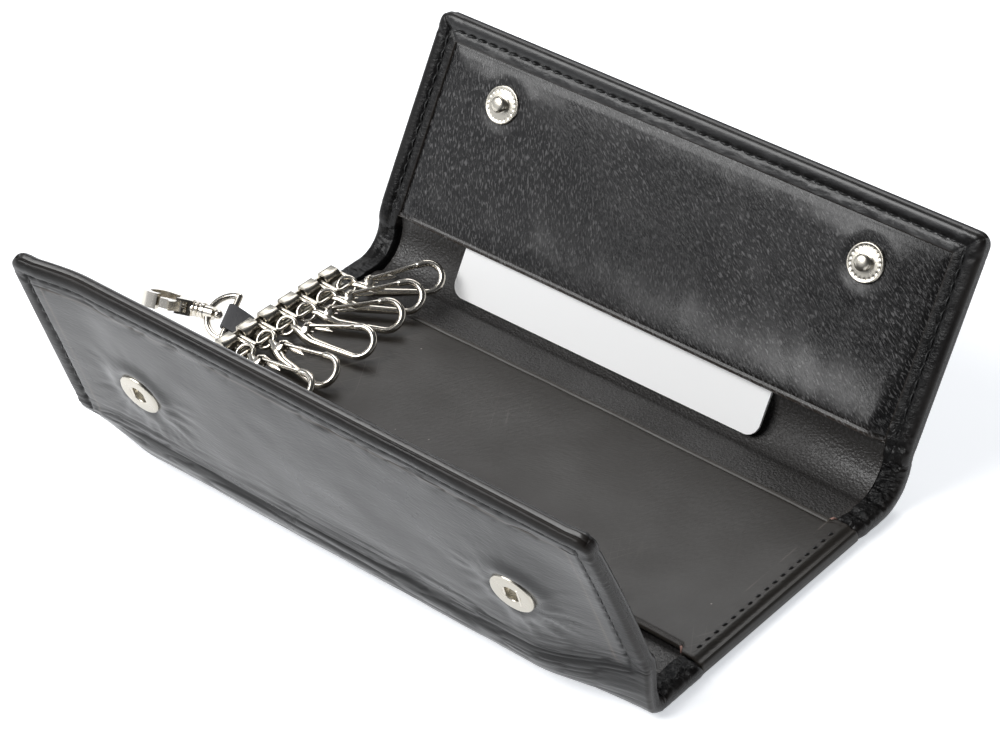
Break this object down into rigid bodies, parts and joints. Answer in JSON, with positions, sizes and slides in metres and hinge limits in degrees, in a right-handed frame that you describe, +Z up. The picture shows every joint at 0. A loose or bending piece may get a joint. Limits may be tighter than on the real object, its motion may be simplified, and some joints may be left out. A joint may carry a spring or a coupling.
{
  "type": "leather key case with snap hooks",
  "caption": "Black leather key case lying open: a row of snap hooks on a rail, a swivel clasp at the left end, snap fasteners and a card in a slip pocket.",
  "frame": {"origin": "middle of the base's underside along the folds, on the surface that it lies on", "axes": "+X along the folds, away from the clasp; +Y towards the flap with the card pocket; +Z up"},
  "size_m": [0.1736, 0.1377, 0.0595],
  "materials": {
    "outer_leather": "black smooth leather with a soft sheen",
    "lining_leather": "black matte leather with a fine grain",
    "pocket_leather": "black leather, glossy, with fine creases",
    "panel_leather": "brown black leather, half matte, lightly scratched",
    "leather_board": "pressed leather fibre board",
    "nickel_plate": "warm bright nickel plating",
    "spring_steel": "drawn spring wire",
    "card_plastic": "white card, half gloss"
  },
  "bodies": {
    "case_base": {"base_shell": "outer_leather", "base_board": "leather_board", "base_lining": "lining_leather", "base_panel": "panel_leather", "front_fold": "outer_leather", "front_fold_lining": "lining_leather", "rear_fold": "outer_leather", "rear_fold_lining": "lining_leather", "key_rail": "nickel_plate", "rail_rivets": "nickel_plate", "clasp_tab": "lining_leather"},
    "front_flap": {"front_shell": "outer_leather", "front_board": "leather_board", "front_lining": "lining_leather", "snap_sockets": "nickel_plate", "socket_posts": "nickel_plate", "socket_wires": "spring_steel"},
    "rear_flap": {"rear_shell": "outer_leather", "rear_board": "leather_board", "rear_lining": "lining_leather", "pocket_panel": "pocket_leather", "snap_studs": "nickel_plate", "stud_posts": "nickel_plate"},
    "card": {"card": "card_plastic"},
    "bail_1": {"bail_1": "nickel_plate"},
    "hook_1": {"hook_1": "nickel_plate", "gate_spring_1": "spring_steel"},
    "gate_1": {"gate_1": "nickel_plate"},
    "bail_2": {"bail_2": "nickel_plate"},
    "hook_2": {"hook_2": "nickel_plate", "gate_spring_2": "spring_steel"},
    "gate_2": {"gate_2": "nickel_plate"},
    "bail_3": {"bail_3": "nickel_plate"},
    "hook_3": {"hook_3": "nickel_plate", "gate_spring_3": "spring_steel"},
    "gate_3": {"gate_3": "nickel_plate"},
    "bail_4": {"bail_4": "nickel_plate"},
    "hook_4": {"hook_4": "nickel_plate", "gate_spring_4": "spring_steel"},
    "gate_4": {"gate_4": "nickel_plate"},
    "bail_5": {"bail_5": "nickel_plate"},
    "hook_5": {"hook_5": "nickel_plate", "gate_spring_5": "spring_steel"},
    "gate_5": {"gate_5": "nickel_plate"},
    "bail_6": {"bail_6": "nickel_plate"},
    "hook_6": {"hook_6": "nickel_plate", "gate_spring_6": "spring_steel"},
    "gate_6": {"gate_6": "nickel_plate"},
    "clasp_ring": {"clasp_ring": "nickel_plate"},
    "clasp_claw": {"clasp_claw": "nickel_plate", "swivel_pin": "nickel_plate", "lever_spring": "spring_steel"},
    "clasp_lever": {"clasp_lever": "nickel_plate"}
  },
  "joints": [
    {"name": "front_flap_fold", "type": "hinge", "parent": "case_base", "child": "front_flap", "pos_m": [0, -0.03303, 0.00229], "axis": [1, 0, 0], "range_deg": [-108.3, 37], "deforming": ["front_fold", "front_fold_lining"]},
    {"name": "rear_flap_fold", "type": "hinge", "parent": "case_base", "child": "rear_flap", "pos_m": [0, 0.0382, 0.0115], "axis": [-1, 0, 0], "range_deg": [-119, 60], "deforming": ["rear_fold", "rear_fold_lining"]},
    {"name": "card_slide", "type": "slide", "parent": "rear_flap", "child": "card", "axis": [1, 0, 0], "range_m": [-0.0008, 0.0095]},
    {"name": "bail_1_swing", "type": "hinge", "parent": "case_base", "child": "bail_1", "pos_m": [-0.0698, -0.0095, 0.0067], "axis": [0, -1, 0], "range_deg": [0, 110]},
    {"name": "hook_1_swing", "type": "hinge", "parent": "bail_1", "child": "hook_1", "pos_m": [-0.0643, -0.0095, 0.0066], "axis": [0, -1, 0], "range_deg": [0, 40]},
    {"name": "gate_1_swing", "type": "hinge", "parent": "hook_1", "child": "gate_1", "pos_m": [-0.05907, -0.0095, 0.00731], "axis": [0.1098, 0.5781, -0.8085], "range_deg": [0, 17], "stiffness_Nm_per_rad": 0.001, "springref_deg": -28.65, "deforming": ["gate_spring_1"]},
    {"name": "bail_2_swing", "type": "hinge", "parent": "case_base", "child": "bail_2", "pos_m": [-0.0698, -0.0027, 0.0067], "axis": [0, -1, 0], "range_deg": [0, 110]},
    {"name": "hook_2_swing", "type": "hinge", "parent": "bail_2", "child": "hook_2", "pos_m": [-0.0643, -0.0027, 0.0066], "axis": [0, -1, 0], "range_deg": [0, 40]},
    {"name": "gate_2_swing", "type": "hinge", "parent": "hook_2", "child": "gate_2", "pos_m": [-0.05909, -0.00235, 0.00734], "axis": [0.0704, 0.6122, -0.7875], "range_deg": [0, 17], "stiffness_Nm_per_rad": 0.001, "springref_deg": -28.65, "deforming": ["gate_spring_2"]},
    {"name": "bail_3_swing", "type": "hinge", "parent": "case_base", "child": "bail_3", "pos_m": [-0.0698, 0.0041, 0.0067], "axis": [0, -1, 0], "range_deg": [0, 110]},
    {"name": "hook_3_swing", "type": "hinge", "parent": "bail_3", "child": "hook_3", "pos_m": [-0.0643, 0.0041, 0.0066], "axis": [0, -1, 0], "range_deg": [0, 40]},
    {"name": "gate_3_swing", "type": "hinge", "parent": "hook_3", "child": "gate_3", "pos_m": [-0.05947, 0.00601, 0.00754], "axis": [-0.1037, 0.6366, -0.7642], "range_deg": [0, 17], "stiffness_Nm_per_rad": 0.001, "springref_deg": -28.65, "deforming": ["gate_spring_3"]},
    {"name": "bail_4_swing", "type": "hinge", "parent": "case_base", "child": "bail_4", "pos_m": [-0.0698, 0.0109, 0.0067], "axis": [0, -1, 0], "range_deg": [0, 110]},
    {"name": "hook_4_swing", "type": "hinge", "parent": "bail_4", "child": "hook_4", "pos_m": [-0.0643, 0.0109, 0.0066], "axis": [0, -1, 0], "range_deg": [0, 40]},
    {"name": "gate_4_swing", "type": "hinge", "parent": "hook_4", "child": "gate_4", "pos_m": [-0.06025, 0.01416, 0.00747], "axis": [-0.2759, 0.5525, -0.7865], "range_deg": [0, 17], "stiffness_Nm_per_rad": 0.001, "springref_deg": -28.65, "deforming": ["gate_spring_4"]},
    {"name": "bail_5_swing", "type": "hinge", "parent": "case_base", "child": "bail_5", "pos_m": [-0.0698, 0.0177, 0.0067], "axis": [0, -1, 0], "range_deg": [0, 110]},
    {"name": "hook_5_swing", "type": "hinge", "parent": "bail_5", "child": "hook_5", "pos_m": [-0.0643, 0.0177, 0.0066], "axis": [0, -1, 0], "range_deg": [0, 40]},
    {"name": "gate_5_swing", "type": "hinge", "parent": "hook_5", "child": "gate_5", "pos_m": [-0.0605, 0.0212, 0.00768], "axis": [-0.3085, 0.5687, -0.7625], "range_deg": [0, 17], "stiffness_Nm_per_rad": 0.001, "springref_deg": -28.65, "deforming": ["gate_spring_5"]},
    {"name": "bail_6_swing", "type": "hinge", "parent": "case_base", "child": "bail_6", "pos_m": [-0.0698, 0.0245, 0.0067], "axis": [0, -1, 0], "range_deg": [0, 110]},
    {"name": "hook_6_swing", "type": "hinge", "parent": "bail_6", "child": "hook_6", "pos_m": [-0.0643, 0.0245, 0.0066], "axis": [0, -1, 0], "range_deg": [0, 40]},
    {"name": "gate_6_swing", "type": "hinge", "parent": "hook_6", "child": "gate_6", "pos_m": [-0.06091, 0.02838, 0.00774], "axis": [-0.3366, 0.5232, -0.7829], "range_deg": [0, 17], "stiffness_Nm_per_rad": 0.001, "springref_deg": -28.65, "deforming": ["gate_spring_6"]},
    {"name": "clasp_ring_swing", "type": "hinge", "parent": "case_base", "child": "clasp_ring", "pos_m": [-0.0783, 0.0005, 0.0044], "axis": [0.2387, -0.8325, -0.5], "range_deg": [-70, 0]},
    {"name": "clasp_swivel", "type": "hinge", "parent": "clasp_ring", "child": "clasp_claw", "pos_m": [-0.08234, -0.00066, 0.0044], "axis": [-0.9613, -0.2756, 0], "continuous": true},
    {"name": "clasp_lever_swing", "type": "hinge", "parent": "clasp_claw", "child": "clasp_lever", "pos_m": [-0.0889, -0.00416, 0.0053], "axis": [0.1378, -0.4806, -0.866], "range_deg": [0, 14], "stiffness_Nm_per_rad": 0.002, "springref_deg": -28.65, "deforming": ["lever_spring"]}
  ]
}
